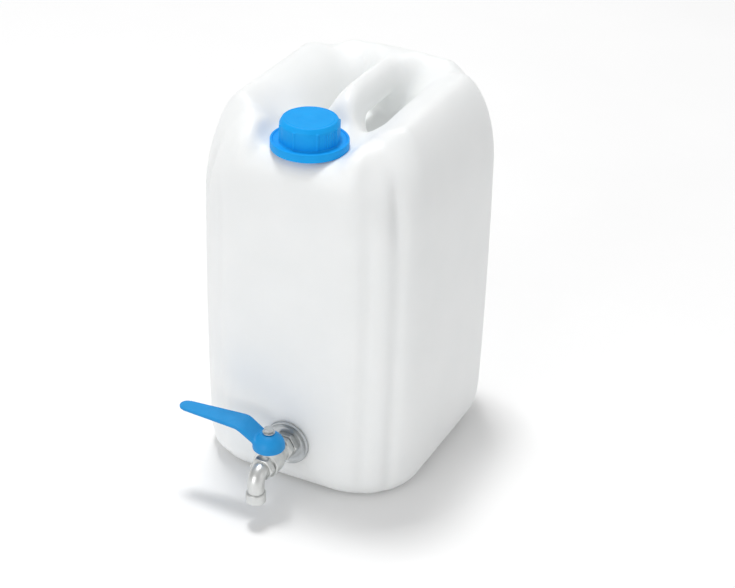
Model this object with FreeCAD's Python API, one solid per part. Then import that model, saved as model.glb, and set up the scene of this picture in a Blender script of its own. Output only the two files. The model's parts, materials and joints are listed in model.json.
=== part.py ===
import FreeCAD, Part
import math
import os
from FreeCAD import Vector

# Jerry can with a screw cap on the front of its top and a lever ball tap low on its front.
# Millimetres. +Z is up and the tap points to -Y. The origin is the centre of the base, on the floor.

# Can body
WIDTH = 248.0
DEPTH = 280.0
HEIGHT = 411.0
WALL = 2.1
CORNER_RADIUS = 71.0
BASE_RADIUS = 30.0
SHOULDER_INSET_SIDE = 37.0
SHOULDER_INSET_FRONT = 46.0
SHOULDER_INSET_REAR = 38.0
SHOULDER_RISE = 100.0

# Vertical grooves that flank the post on each corner
GROOVE_RADIUS = 14.0
GROOVE_DEPTH = 4.5
GROOVE_MIDDLE_DEG = 50.0
GROOVE_SPREAD_DEG = 12.0

# Handle and the finger space below and beside it
HANDLE_WIDTH = 34.0
HANDLE_THICK = 29.0
FINGER_FRONT = -26.0
FINGER_REAR = 76.0
FINGER_FLOOR = 348.0
FINGER_REACH = 46.0
FINGER_FLARE = 22.0
FINGER_CORNER_LOW = 14.0
FINGER_CORNER_HIGH = 22.0
SLOT_MARGIN = 4.0
SLOT_INDENT = 15.0
SLOT_ROUNDING = 10.0

# Lowered landing around the neck
LANDING_Z = 379.4
LANDING_HALF = 46.0
LANDING_REAR = -44.0
LANDING_FLARE_SIDE = 16.0
LANDING_FLARE_REAR = 14.0
LANDING_CORNER_LOW = 24.0
LANDING_CORNER_HIGH = 34.0

# Neck, cap, liner and tamper ring
NECK_Y = -94.5
NECK_BORE = 22.0
NECK_RADIUS = 25.0
NECK_TOP = LANDING_Z + 26.1
BEAD_HEIGHT = LANDING_Z + 6.4
BEAD_REACH = 2.6
THREAD_PITCH = 5.0
THREAD_HEIGHT = 2.0
THREAD_START = LANDING_Z + 12.5
THREAD_TURNS = 1.5
CAP_RADIUS = 29.9
CAP_BORE = 27.6
CAP_BOTTOM = LANDING_Z + 8.4
CAP_TOP = LANDING_Z + 30.6
CAP_TOP_THICK = 2.5
CAP_BEVEL = 4.6
CAP_BEVEL_IN = 2.6
CAP_RIBS = 8
CAP_RIB_ANGLE = -3.0
CAP_RIB_WIDE = 2.6
CAP_RIB_REACH = 1.2
LINER_THICK = 2.0
RING_RADIUS = 39.0
RING_BOTTOM = LANDING_Z + 0.4
RING_TOP = LANDING_Z + 9.0
RING_LIP = RING_BOTTOM + 3.0
RING_WALL = 2.0

# Tap: distances along its axis are counted outwards from the can's front face
TAP_X = 2.0
TAP_Z = 60.0
TAIL_RADIUS = 10.4
TAIL_BORE = 6.0
TAIL_LENGTH = 15.0
GASKET_THICK = 2.0
OUTER_GASKET_RADIUS = 21.6
INNER_GASKET_RADIUS = 17.0
ROSETTE_RADIUS = 24.6
ROSETTE_PLATE = 1.2
BACKNUT_FLATS = 27.0
BACKNUT_THICK = 7.0
LOCKNUT_FLATS = 26.0
LOCKNUT_START = 3.2
LOCKNUT_END = 9.8
ROOT_FLATS = 25.0
ROOT_START = 10.4
ROOT_END = 18.0
STEM_OUT = 41.0
BALL_RADIUS = 8.5
BALL_BORE = 5.0
SEAT_RADIUS = 8.9
HOUSING_RADIUS = 14.4
BOSS_RADIUS = 8.0
BOSS_TOP = 19.6
NOSE_RADIUS = 10.2
NOSE_START = 49.2
NOSE_END = 54.0
SEAT_START = 4.4
SEAT_END = 9.6
STEM_RADIUS = 4.0
STEM_SHOULDER_RADIUS = 6.0
STEM_SHOULDER = 9.1
STEM_SHOULDER_TOP = 11.4
STEM_THREAD_RADIUS = 2.9
STEM_THREAD_START = 29.6
STEM_TOP = 41.0
STEM_SQUARE = 5.6
TANG_THICK = 2.9
TANG_LENGTH = 8.0
THRUST_TOP = 12.55
PACKING_RADIUS = 6.55
PACKING_START = 14.4
PACKING_END = 17.0
GLAND_FLATS = 16.0
GLAND_START = 19.7
GLAND_END = 23.4
HOOD_RADIUS = 16.8
HOOD_BOTTOM = 17.4
HOOD_TOP = 36.0
HOOD_SEAT = 30.4
HOOD_WALL = 2.2
HOOD_RECESS_RADIUS = 9.0
LEVER_ROOT_X = -9.0
LEVER_ROOT_Z = 30.0
LEVER_REACH = 104.0
LEVER_TIP_FALL = 0.8
KNEE_X = -29.7
KNEE_Z = 41.0
LEVER_WIDE = 26.0
LEVER_NARROW = 15.6
LEVER_BLADE = 4.4
LEVER_TIP_BLADE = 3.2
LEVER_WASHER_RADIUS = 6.4
LEVER_WASHER_THICK = 1.0
LEVER_NUT_FLATS = 9.0
LEVER_NUT_THICK = 4.0
SPOUT_RADIUS = 8.6
SPOUT_BORE = 6.2
SPOUT_NUT_FLATS = 23.0
SPOUT_START = 55.0
SPOUT_LEAD = 2.0
SPOUT_FLANGE = 1.5
SPOUT_BEND = 11.0
SPOUT_DROP = 18.0
COLLAR_RADIUS = 10.4
COLLAR_HEIGHT = 12.0
COLLAR_BELOW = 3.2
STRAINER_THICK = 1.2
STRAINER_HOLE = 0.9
STRAINER_ROWS = ((6, 2.4), (12, 4.7))

# Clearances
RUN = 0.05
GAP = 0.4

FRONT = -DEPTH / 2
UP = Vector(0, 0, 1)
OUTWARDS = Vector(0, -1, 0)


def save(shape, node):
    """Writes one node's solid as a STEP file."""
    shape.exportStep("parts/%s.step" % node)


def solid_of(shape):
    """The single solid inside a boolean's result."""
    return shape.Solids[0]


def rounded_rectangle(x0, x1, y0, y1, radius, z):
    """A closed wire of four lines and four arcs at height z."""
    half = math.sqrt(0.5)
    corners = [(x1, y1, 1, 1), (x0, y1, -1, 1), (x0, y0, -1, -1), (x1, y0, 1, -1)]
    edges = []
    ends = []
    for cx, cy, sx, sy in corners:
        ox, oy = cx - sx * radius, cy - sy * radius
        middle = Vector(ox + sx * radius * half, oy + sy * radius * half, z)
        along_x = Vector(ox, cy, z)
        along_y = Vector(cx, oy, z)
        first, last = (along_y, along_x) if sx * sy > 0 else (along_x, along_y)
        ends.append((first, last))
        edges.append(Part.Arc(first, middle, last).toShape())
    wire_edges = []
    for i, edge in enumerate(edges):
        wire_edges.append(edge)
        wire_edges.append(Part.LineSegment(ends[i][1], ends[(i + 1) % 4][0]).toShape())
    return Part.Wire(wire_edges)


def ring_solid(profile, base, axis, across):
    """Revolves (radius, distance) points about an axis through base."""
    points = [base + across * r + axis * d for r, d in profile]
    face = Part.Face(Part.makePolygon(points + points[:1]))
    return face.revolve(base, axis, 360)


def tap_base():
    """The point on the can's front face that the tap's axis passes through."""
    return Vector(TAP_X, FRONT, TAP_Z)


def stem_base():
    """The point where the stem's axis crosses the tap's axis, at the ball's centre."""
    return Vector(TAP_X, FRONT - STEM_OUT, TAP_Z)


def on_tap(profile):
    """Revolves (radius, distance outwards from the front face) about the tap's axis."""
    return ring_solid(profile, tap_base(), OUTWARDS, Vector(1, 0, 0))


def on_stem(profile):
    """Revolves (radius, height above the tap's axis) about the stem's axis."""
    return ring_solid(profile, stem_base(), UP, Vector(1, 0, 0))


def on_neck(profile):
    """Revolves (radius, height above the floor) about the neck's axis."""
    return ring_solid(profile, Vector(0, NECK_Y, 0), UP, Vector(1, 0, 0))


def tube(outer, bore, start, end):
    """The profile of a plain tube."""
    return [(bore, start), (outer, start), (outer, end), (bore, end)]


def hexagon(flats, start, end, base, direction):
    """A hexagonal prism across the given flats, with two flats level."""
    radius = flats / math.sqrt(3)
    side = direction.cross(UP)
    if side.Length < 0.5:
        side = Vector(1, 0, 0)
    side.normalize()
    other = direction.cross(side)
    points = []
    for i in range(6):
        angle = math.radians(60 * i)
        points.append(base + direction * start + side * (radius * math.cos(angle))
                      + other * (radius * math.sin(angle)))
    face = Part.Face(Part.makePolygon(points + points[:1]))
    return face.extrude(direction * (end - start))


def chamfered_hexagon(flats, start, end, base, direction, cut):
    """A hexagonal prism whose corners are turned off at both ends."""
    radius = flats / math.sqrt(3) + 0.05
    inner = flats / 2
    profile = [(0, start), (inner, start), (radius, start + cut), (radius, end - cut), (inner, end),
               (0, end)]
    across = direction.cross(UP)
    if across.Length < 0.5:
        across = Vector(1, 0, 0)
    across.normalize()
    turned = ring_solid(profile, base, direction, across)
    return hexagon(flats, start, end, base, direction).common(turned)


def helical_rib(radius, start_z, turns, root, crest, height, inward):
    """A thread ridge on the neck's axis, wound right-handed."""
    helix = Part.makeHelix(THREAD_PITCH, THREAD_PITCH * turns, radius)
    sign = -1.0 if inward else 1.0
    sink = 0.5
    profile = Part.makePolygon([
        Vector(radius - sign * sink, 0, -root / 2),
        Vector(radius + sign * height, 0, -crest / 2),
        Vector(radius + sign * height, 0, crest / 2),
        Vector(radius - sign * sink, 0, root / 2),
        Vector(radius - sign * sink, 0, -root / 2),
    ])
    rib = Part.Wire(helix).makePipeShell([profile], True, True)
    rib = Part.Solid(rib) if rib.ShapeType == "Shell" else rib
    rib.translate(Vector(0, NECK_Y, start_z))
    return rib


# ---------------------------------------------------------------- can body

def body_block(skin):
    """The can's outline without openings, drawn in by skin on every side."""
    hx, hy = WIDTH / 2 - skin, DEPTH / 2 - skin
    radius = CORNER_RADIUS - skin
    low, top = skin, HEIGHT - skin
    spring = HEIGHT - SHOULDER_RISE
    lower = Part.Face(rounded_rectangle(-hx, hx, -hy, hy, radius, low)).extrude(UP * (spring - low))
    base_edges = [e for e in lower.Edges if e.BoundBox.ZMax < low + 0.01]
    lower = lower.makeFillet(BASE_RADIUS - skin, base_edges)
    wires = []
    for step in range(7):
        angle = math.radians(15 * step)
        share = 1 - math.cos(angle)
        side = hx - SHOULDER_INSET_SIDE * share
        front = -hy + SHOULDER_INSET_FRONT * share
        rear = hy - SHOULDER_INSET_REAR * share
        z = spring + (top - spring) * math.sin(angle)
        wires.append(rounded_rectangle(-side, side, front, rear, radius, z))
    upper = Part.makeLoft(wires, True, False)
    return solid_of(lower.fuse(upper))


def groove_cutters(grow):
    """Eight upright cylinders, two on each rounded corner."""
    cutters = []
    reach = CORNER_RADIUS + GROOVE_RADIUS - GROOVE_DEPTH
    ox, oy = WIDTH / 2 - CORNER_RADIUS, DEPTH / 2 - CORNER_RADIUS
    past = 10
    for sx in (-1, 1):
        for sy in (-1, 1):
            for spread in (-GROOVE_SPREAD_DEG, GROOVE_SPREAD_DEG):
                angle = math.radians(GROOVE_MIDDLE_DEG + spread)
                x = sx * (ox + reach * math.cos(angle))
                y = sy * (oy + reach * math.sin(angle))
                foot = Vector(x, y, -past)
                cutters.append(Part.makeCylinder(GROOVE_RADIUS + grow, HEIGHT + 2 * past, foot))
    return cutters


def finger_cutters(grow):
    """The two pockets beside the handle and the slot that joins them under it."""
    inner = HANDLE_WIDTH / 2 - grow
    floor = FINGER_FLOOR - grow
    above = HEIGHT + 12
    cutters = []
    for side in (-1, 1):
        low_x = sorted((side * inner, side * (FINGER_REACH + grow)))
        high_x = sorted((side * inner, side * (FINGER_REACH + FINGER_FLARE + grow)))
        low = rounded_rectangle(low_x[0], low_x[1], FINGER_FRONT - grow, FINGER_REAR + grow,
                                FINGER_CORNER_LOW + grow, floor)
        high = rounded_rectangle(high_x[0], high_x[1], FINGER_FRONT - FINGER_FLARE - grow,
                                 FINGER_REAR + FINGER_FLARE + grow, FINGER_CORNER_HIGH + grow, above)
        cutters.append(Part.makeLoft([low, high], True, True))
    slot_top = HEIGHT - HANDLE_THICK + grow
    half = FINGER_REACH - SLOT_INDENT
    length = FINGER_REAR - FINGER_FRONT - 2 * SLOT_MARGIN + 2 * grow
    slot = Part.makeBox(2 * half, length, slot_top - floor,
                        Vector(-half, FINGER_FRONT + SLOT_MARGIN - grow, floor))
    slot_edges = [e for e in slot.Edges if e.BoundBox.XLength > 1]
    cutters.append(slot.makeFillet(SLOT_ROUNDING, slot_edges))
    return cutters


def landing_cutter(grow):
    """The space above the lowered landing, open to the front."""
    low_half = LANDING_HALF + grow
    high_half = low_half + LANDING_FLARE_SIDE
    past = FRONT - 2 * LANDING_CORNER_HIGH
    low = rounded_rectangle(-low_half, low_half, past, LANDING_REAR + grow, LANDING_CORNER_LOW,
                            LANDING_Z - grow)
    high = rounded_rectangle(-high_half, high_half, past, LANDING_REAR + LANDING_FLARE_REAR + grow,
                             LANDING_CORNER_HIGH, HEIGHT + 14)
    return Part.makeLoft([low, high], True, True)


def can_body():
    """Blow-moulded shell with its neck, thread, handle and tap hole."""
    outer = body_block(0.0)
    for cutter in groove_cutters(0.0) + finger_cutters(0.0) + [landing_cutter(0.0)]:
        outer = outer.cut(cutter)
    cavity = body_block(WALL)
    for cutter in groove_cutters(WALL) + finger_cutters(WALL) + [landing_cutter(WALL)]:
        cavity = cavity.cut(cutter)
    shell = outer.cut(cavity)
    bead = BEAD_HEIGHT
    bead_radius = NECK_RADIUS + BEAD_REACH
    foot = LANDING_Z - WALL
    neck = on_neck([(NECK_BORE, foot), (NECK_RADIUS, foot), (NECK_RADIUS, bead - 1.2),
                    (bead_radius, bead), (bead_radius, bead + 1.4), (NECK_RADIUS, bead + 1.4),
                    (NECK_RADIUS, NECK_TOP), (NECK_BORE, NECK_TOP)])
    bore = Part.makeCylinder(NECK_BORE, HEIGHT, Vector(0, NECK_Y, LANDING_Z - 20))
    tap_hole = Part.makeCylinder(TAIL_RADIUS + GAP, 20, tap_base() + OUTWARDS * 10, -OUTWARDS)
    thread = helical_rib(NECK_RADIUS, THREAD_START, THREAD_TURNS, 2.4, 1.2, THREAD_HEIGHT, False)
    return solid_of(shell.cut(bore).fuse(neck).cut(tap_hole).fuse(thread))


# ---------------------------------------------------------------- closure

def tamper_ring():
    """Wide ring that stays under the neck's bead."""
    inside = NECK_RADIUS + 0.5
    rim = RING_RADIUS - RING_WALL
    web = RING_RADIUS - 8.6
    throat = RING_RADIUS - 10.4
    return on_neck([(inside, RING_LIP - RING_WALL), (web, RING_LIP - RING_WALL), (web, RING_TOP - 3.2),
                    (rim, RING_TOP - 3.2), (rim, RING_BOTTOM), (RING_RADIUS, RING_BOTTOM),
                    (RING_RADIUS, RING_TOP - 0.5), (RING_RADIUS - 0.5, RING_TOP),
                    (RING_RADIUS - 1.6, RING_TOP), (RING_RADIUS - 2.2, RING_TOP - 1.2),
                    (throat, RING_TOP - 1.2), (throat, RING_LIP), (inside, RING_LIP)])


def screw_cap():
    """Threaded cap with a bevelled top and upright grip ribs."""
    inside_top = CAP_TOP - CAP_TOP_THICK
    shoulder = CAP_TOP - CAP_BEVEL
    cap = on_neck([(CAP_BORE, CAP_BOTTOM), (CAP_RADIUS, CAP_BOTTOM), (CAP_RADIUS, shoulder),
                   (CAP_RADIUS - CAP_BEVEL_IN, CAP_TOP), (0, CAP_TOP), (0, inside_top),
                   (CAP_BORE, inside_top)])
    rib = Part.makeBox(2 * CAP_RIB_REACH, CAP_RIB_WIDE, shoulder - CAP_BOTTOM - 0.6,
                       Vector(CAP_RADIUS - CAP_RIB_REACH, -CAP_RIB_WIDE / 2, CAP_BOTTOM + 0.3))
    upright = [e for e in rib.Edges if e.BoundBox.ZLength > 5 and e.BoundBox.XMax > CAP_RADIUS]
    rib = rib.makeFillet(0.7, upright)
    for i in range(CAP_RIBS):
        turned = rib.copy()
        turned.rotate(Vector(0, 0, 0), UP, CAP_RIB_ANGLE + i * 360.0 / CAP_RIBS)
        turned.translate(Vector(0, NECK_Y, 0))
        cap = cap.fuse(turned)
    start = THREAD_START + THREAD_PITCH / 2
    thread = helical_rib(CAP_BORE, start, 1.1, 2.2, 1.0, THREAD_HEIGHT - 0.2, True)
    return solid_of(cap.fuse(thread))


def cap_liner():
    """Foam disc between the cap's top and the neck's rim."""
    return on_neck(tube(CAP_BORE - 0.3, 0, NECK_TOP, NECK_TOP + LINER_THICK))


# ---------------------------------------------------------------- tap, fixed pieces

def nut(flats, bore, start, end, cut):
    """A hexagonal nut on the tap's axis."""
    body = chamfered_hexagon(flats, start, end, tap_base(), OUTWARDS, cut)
    return body.cut(on_tap(tube(bore, 0, start - 1, end + 1)))


def rosette():
    """Cupped metal washer whose rim covers the outer gasket."""
    inside = TAIL_RADIUS + RUN
    skirt = ROSETTE_RADIUS - 2.2
    plate = GASKET_THICK + ROSETTE_PLATE
    return on_tap([(inside, GASKET_THICK), (skirt, GASKET_THICK), (skirt, GAP), (ROSETTE_RADIUS - 0.2, GAP),
                   (ROSETTE_RADIUS, 2.8), (ROSETTE_RADIUS - 0.8, 4.2), (ROSETTE_RADIUS - 2.0, 4.2),
                   (ROSETTE_RADIUS - 4.0, 3.4), (ROSETTE_RADIUS - 7.2, plate), (inside, plate)])


def valve_body():
    """Threaded tail, hexagonal root, ball housing, stem boss and threaded nose, with its bores."""
    tail = on_tap(tube(TAIL_RADIUS, 0, -TAIL_LENGTH, ROOT_START + 0.6))
    root = chamfered_hexagon(ROOT_FLATS, ROOT_START, ROOT_END, tap_base(), OUTWARDS, 1.2)
    waist = ROOT_END - 1.0
    housing = on_tap([(0, waist), (10.6, waist), (11.6, STEM_OUT - 16.5), (HOUSING_RADIUS, STEM_OUT - 12.5),
                      (HOUSING_RADIUS, STEM_OUT + 3.5), (HOUSING_RADIUS - 2.0, NOSE_START),
                      (NOSE_RADIUS, NOSE_START), (NOSE_RADIUS, NOSE_END), (0, NOSE_END)])
    boss = on_stem([(0, 0), (BOSS_RADIUS, 0), (BOSS_RADIUS, BOSS_TOP - 0.6), (BOSS_RADIUS - 0.6, BOSS_TOP),
                    (0, BOSS_TOP)])
    body = tail.fuse(root).fuse(housing).fuse(boss)
    body = body.cut(on_tap(tube(TAIL_BORE, 0, -TAIL_LENGTH - 1, STEM_OUT - SEAT_END + 0.6)))
    body = body.cut(on_tap(tube(SEAT_RADIUS + RUN, 0, STEM_OUT - SEAT_END, NOSE_END + 1)))
    shoulder = STEM_SHOULDER_RADIUS + GAP
    ledge = THRUST_TOP + RUN
    shaft = STEM_RADIUS + RUN
    packing = PACKING_RADIUS + RUN
    stem_bore = [(0, 0), (shoulder, 0), (shoulder, ledge), (shaft, ledge), (shaft, PACKING_START),
                 (packing, PACKING_START), (packing, BOSS_TOP + 1), (0, BOSS_TOP + 1)]
    body = body.cut(on_stem(stem_bore))
    return solid_of(body)


def ball_hollow():
    """The spherical space that both seats leave for the ball."""
    return Part.makeSphere(BALL_RADIUS + RUN, stem_base())


def seat(side):
    """A plastic seat ring, spherical towards the ball. Side is -1 behind it and 1 in front."""
    ends = sorted((STEM_OUT + side * SEAT_START, STEM_OUT + side * SEAT_END))
    ring = on_tap(tube(SEAT_RADIUS, BALL_BORE + GAP, ends[0], ends[1]))
    return solid_of(ring.cut(ball_hollow()))


def seat_retainer():
    """Threaded ring with two key slots that holds the front seat."""
    ring = on_tap(tube(SEAT_RADIUS, BALL_BORE + 0.6, STEM_OUT + SEAT_END, NOSE_END))
    reach = SEAT_RADIUS + 1
    slot = Part.makeBox(2 * reach, 1.2, 1.8, tap_base() + Vector(-reach, -NOSE_END, -0.9))
    return ring.cut(slot)


def gland_nut():
    """Threaded gland with a hexagonal head on top of the stem boss."""
    thread = on_stem(tube(PACKING_RADIUS, STEM_RADIUS + RUN, PACKING_END, GLAND_START + 0.2))
    head = chamfered_hexagon(GLAND_FLATS, GLAND_START, GLAND_END, stem_base(), UP, 0.7)
    bore = on_stem(tube(STEM_RADIUS + RUN, 0, PACKING_END - 1, GLAND_END + 1))
    return solid_of(thread.fuse(head).cut(bore))


def stem_packing():
    """Packing ring squeezed by the gland nut."""
    return on_stem(tube(PACKING_RADIUS, STEM_RADIUS + RUN, PACKING_START, PACKING_END))


def spout_nut():
    """Ring nut over the body's nose and the spout's flange."""
    lip = SPOUT_START + SPOUT_FLANGE
    end = lip + 1.5
    hexed = chamfered_hexagon(SPOUT_NUT_FLATS, NOSE_START + GAP, end, tap_base(), OUTWARDS, 1.6)
    wide = NOSE_RADIUS + RUN
    throat = SPOUT_RADIUS + 0.2
    bore = on_tap([(0, NOSE_START), (wide, NOSE_START), (wide, lip), (throat, lip), (throat, end + 1),
                   (0, end + 1)])
    return hexed.cut(bore)


def spout():
    """Flanged tube that bends down to the outlet."""
    flange = on_tap(tube(NOSE_RADIUS - 0.2, SPOUT_BORE, SPOUT_START, SPOUT_START + SPOUT_FLANGE))
    begin = tap_base() + OUTWARDS * SPOUT_START
    elbow = begin + OUTWARDS * SPOUT_LEAD
    centre = elbow - UP * SPOUT_BEND
    middle = centre + (OUTWARDS + UP) * (SPOUT_BEND * math.sqrt(0.5))
    turned = centre + OUTWARDS * SPOUT_BEND
    end = turned - UP * SPOUT_DROP
    path = Part.Wire([Part.LineSegment(begin, elbow).toShape(), Part.Arc(elbow, middle, turned).toShape(),
                      Part.LineSegment(turned, end).toShape()])
    sweeps = []
    for radius in (SPOUT_RADIUS, SPOUT_BORE):
        circle = Part.Wire(Part.makeCircle(radius, begin, OUTWARDS))
        sweeps.append(path.makePipeShell([circle], True, True))
    return solid_of(sweeps[0].fuse(flange).cut(sweeps[1])), end


def at_outlet(profile, outlet):
    """Revolves (radius, height above the spout's end) about the outlet's axis."""
    return ring_solid(profile, outlet, UP, Vector(1, 0, 0))


def outlet_collar(outlet):
    """Sleeve round the end of the spout, with the strainer's seat below it."""
    foot = -COLLAR_BELOW
    top = COLLAR_HEIGHT - COLLAR_BELOW
    inside = SPOUT_RADIUS + RUN
    return at_outlet([(SPOUT_BORE, foot), (COLLAR_RADIUS - 0.8, foot), (COLLAR_RADIUS, foot + 0.8),
                      (COLLAR_RADIUS, top - 1.2), (COLLAR_RADIUS - 1.0, top), (inside, top),
                      (inside, -STRAINER_THICK), (SPOUT_BORE, -STRAINER_THICK)], outlet)


def outlet_strainer(outlet):
    """Perforated disc held between the spout's end and the collar."""
    disc = at_outlet(tube(SPOUT_RADIUS - 0.2, 0, -STRAINER_THICK, 0), outlet)
    hole = Part.makeCylinder(STRAINER_HOLE, STRAINER_THICK + 2, outlet - UP * (STRAINER_THICK + 1))
    holes = [hole]
    for count, radius in STRAINER_ROWS:
        for i in range(count):
            angle = 2 * math.pi * i / count
            moved = hole.copy()
            moved.translate(Vector(radius * math.cos(angle), radius * math.sin(angle), 0))
            holes.append(moved)
    return disc.cut(Part.makeCompound(holes))


# ---------------------------------------------------------------- tap, moving pieces

def ball():
    """Bored ball, shut across the flow, with the slot for the stem's tang."""
    centre = stem_base()
    past = 2 * BALL_RADIUS
    sphere = Part.makeSphere(BALL_RADIUS, centre)
    bore = Part.makeCylinder(BALL_BORE, 2 * past, centre + Vector(-past, 0, 0), Vector(1, 0, 0))
    wide = TANG_THICK + 0.2
    slot = Part.makeBox(2 * past, wide, past, centre + Vector(-past, -wide / 2, BALL_RADIUS - 2.4))
    return sphere.cut(bore).cut(slot)


def stem():
    """Blow-out proof stem with tang, thrust shoulder, lever square and threaded end."""
    base = stem_base()
    body = on_stem([(0, STEM_SHOULDER), (STEM_SHOULDER_RADIUS, STEM_SHOULDER),
                    (STEM_SHOULDER_RADIUS, STEM_SHOULDER_TOP), (STEM_RADIUS, STEM_SHOULDER_TOP),
                    (STEM_RADIUS, STEM_THREAD_START), (STEM_THREAD_RADIUS, STEM_THREAD_START),
                    (STEM_THREAD_RADIUS, STEM_TOP), (0, STEM_TOP)])
    tang = Part.makeBox(TANG_LENGTH, TANG_THICK, 3.0,
                        base + Vector(-TANG_LENGTH / 2, -TANG_THICK / 2, BALL_RADIUS - 2.3))
    square = Part.makeBox(STEM_SQUARE, STEM_SQUARE, HOOD_TOP - HOOD_SEAT,
                          base + Vector(-STEM_SQUARE / 2, -STEM_SQUARE / 2, STEM_THREAD_START - 0.2))
    return solid_of(body.fuse(tang).fuse(square))


def stem_thrust_washer():
    """Slippery washer between the stem's shoulder and the boss."""
    return on_stem(tube(STEM_SHOULDER_RADIUS + 0.2, STEM_RADIUS + RUN, STEM_SHOULDER_TOP, THRUST_TOP))


def lever():
    """Cast lever: hood over the stem boss, rising arm and long flat blade."""
    base = stem_base()
    inside = [(HOOD_RADIUS - HOOD_WALL, HOOD_BOTTOM), (14.6, 23.0), (11.4, 29.0), (0, HOOD_SEAT)]
    hood = on_stem([(HOOD_RADIUS, HOOD_BOTTOM), (HOOD_RADIUS, HOOD_BOTTOM + 6), (HOOD_RADIUS - 1.4, 26.0),
                    (HOOD_RADIUS - 4.8, 31.5), (HOOD_RADIUS - 8.6, 35.0), (7.4, HOOD_TOP),
                    (0, HOOD_TOP)] + inside[::-1])
    top = [Vector(LEVER_ROOT_X, 0, LEVER_ROOT_Z), Vector(KNEE_X, 0, KNEE_Z),
           Vector(-LEVER_REACH, 0, KNEE_Z - LEVER_TIP_FALL)]
    drop = UP * -LEVER_BLADE
    outline = top + [top[2] - UP * LEVER_TIP_BLADE, top[1] + drop + Vector(1.5, 0, -GAP), top[0] + drop * 1.2]
    side = Part.Face(Part.makePolygon(outline + outline[:1]))
    side.translate(base + Vector(0, -LEVER_WIDE, 0))
    slab = side.extrude(Vector(0, 2 * LEVER_WIDE, 0))
    half_w, half_n = LEVER_WIDE / 2, LEVER_NARROW / 2
    root_x, tip_x = 2.0, half_n - LEVER_REACH
    corners = [Vector(tip_x, half_n, 0), Vector(KNEE_X, half_w, 0), Vector(root_x, half_w, 0),
               Vector(root_x, -half_w, 0), Vector(KNEE_X, -half_w, 0), Vector(tip_x, -half_n, 0)]
    plan = [Part.LineSegment(a, b).toShape() for a, b in zip(corners, corners[1:])]
    plan.append(Part.Arc(corners[-1], Vector(-LEVER_REACH, 0, 0), corners[0]).toShape())
    outline_solid = Part.Face(Part.Wire(plan)).extrude(UP * (2 * KNEE_Z))
    outline_solid.translate(base)
    arm = slab.common(outline_solid)
    hollow = on_stem([(0, 0), (HOOD_RADIUS - HOOD_WALL, 0)] + inside)
    wide = STEM_SQUARE + 0.1
    square = Part.makeBox(wide, wide, HOOD_TOP - HOOD_SEAT + 2,
                          base + Vector(-wide / 2, -wide / 2, HOOD_SEAT - 1))
    recess = on_stem(tube(HOOD_RECESS_RADIUS, 0, HOOD_TOP, KNEE_Z + 10))
    return solid_of(hood.fuse(arm).cut(hollow).cut(square).cut(recess))


def lever_washer():
    """Plain washer under the lever nut."""
    return on_stem(tube(LEVER_WASHER_RADIUS, STEM_THREAD_RADIUS + 0.1, HOOD_TOP,
                        HOOD_TOP + LEVER_WASHER_THICK))


def lever_nut():
    """Hexagonal nut on the stem's end."""
    start = HOOD_TOP + LEVER_WASHER_THICK
    end = start + LEVER_NUT_THICK
    bore = on_stem(tube(STEM_THREAD_RADIUS + RUN, 0, start - 1, end + 1))
    return chamfered_hexagon(LEVER_NUT_FLATS, start, end, stem_base(), UP, 0.6).cut(bore)


def build():
    """Writes every node."""
    os.makedirs("parts", exist_ok=True)
    spout_shape, outlet = spout()
    on_tail = TAIL_RADIUS + RUN
    behind = -WALL - GASKET_THICK
    nodes = {
        "can_body": can_body(),
        "tamper_ring": tamper_ring(),
        "screw_cap": screw_cap(),
        "cap_liner": cap_liner(),
        "outer_gasket": on_tap(tube(OUTER_GASKET_RADIUS, on_tail, 0.0, GASKET_THICK)),
        "inner_gasket": on_tap(tube(INNER_GASKET_RADIUS, on_tail, behind, -WALL)),
        "backnut": nut(BACKNUT_FLATS, on_tail, behind - BACKNUT_THICK, behind, 1.2),
        "rosette": rosette(),
        "locknut": nut(LOCKNUT_FLATS, on_tail, LOCKNUT_START, LOCKNUT_END, 1.3),
        "valve_body": valve_body(),
        "rear_seat": seat(-1),
        "front_seat": seat(1),
        "seat_retainer": seat_retainer(),
        "ball": ball(),
        "stem": stem(),
        "stem_thrust_washer": stem_thrust_washer(),
        "stem_packing": stem_packing(),
        "gland_nut": gland_nut(),
        "lever": lever(),
        "lever_washer": lever_washer(),
        "lever_nut": lever_nut(),
        "spout_gasket": on_tap(tube(NOSE_RADIUS - 0.2, SPOUT_BORE, NOSE_END, SPOUT_START)),
        "spout_nut": spout_nut(),
        "spout": spout_shape,
        "outlet_collar": outlet_collar(outlet),
        "outlet_strainer": outlet_strainer(outlet),
    }
    for node, shape in nodes.items():
        save(shape, node)


build()
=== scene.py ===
import json
import math
import bpy
import numpy as np
from mathutils import Matrix, Vector


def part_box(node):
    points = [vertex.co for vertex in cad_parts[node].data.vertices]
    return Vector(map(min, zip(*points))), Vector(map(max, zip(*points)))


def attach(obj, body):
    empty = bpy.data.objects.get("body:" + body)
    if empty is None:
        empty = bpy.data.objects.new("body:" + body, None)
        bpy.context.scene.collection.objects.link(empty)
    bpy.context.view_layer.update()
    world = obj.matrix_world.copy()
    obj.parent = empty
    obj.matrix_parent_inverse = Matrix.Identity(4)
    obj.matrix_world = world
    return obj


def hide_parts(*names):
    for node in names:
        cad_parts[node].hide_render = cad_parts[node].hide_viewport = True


# A milky jerry can with a blue screw cap and a nickel-plated lever tap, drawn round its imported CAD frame.
# Shapes are worked out in millimetres in the row frame and made into meshes in metres.

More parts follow.
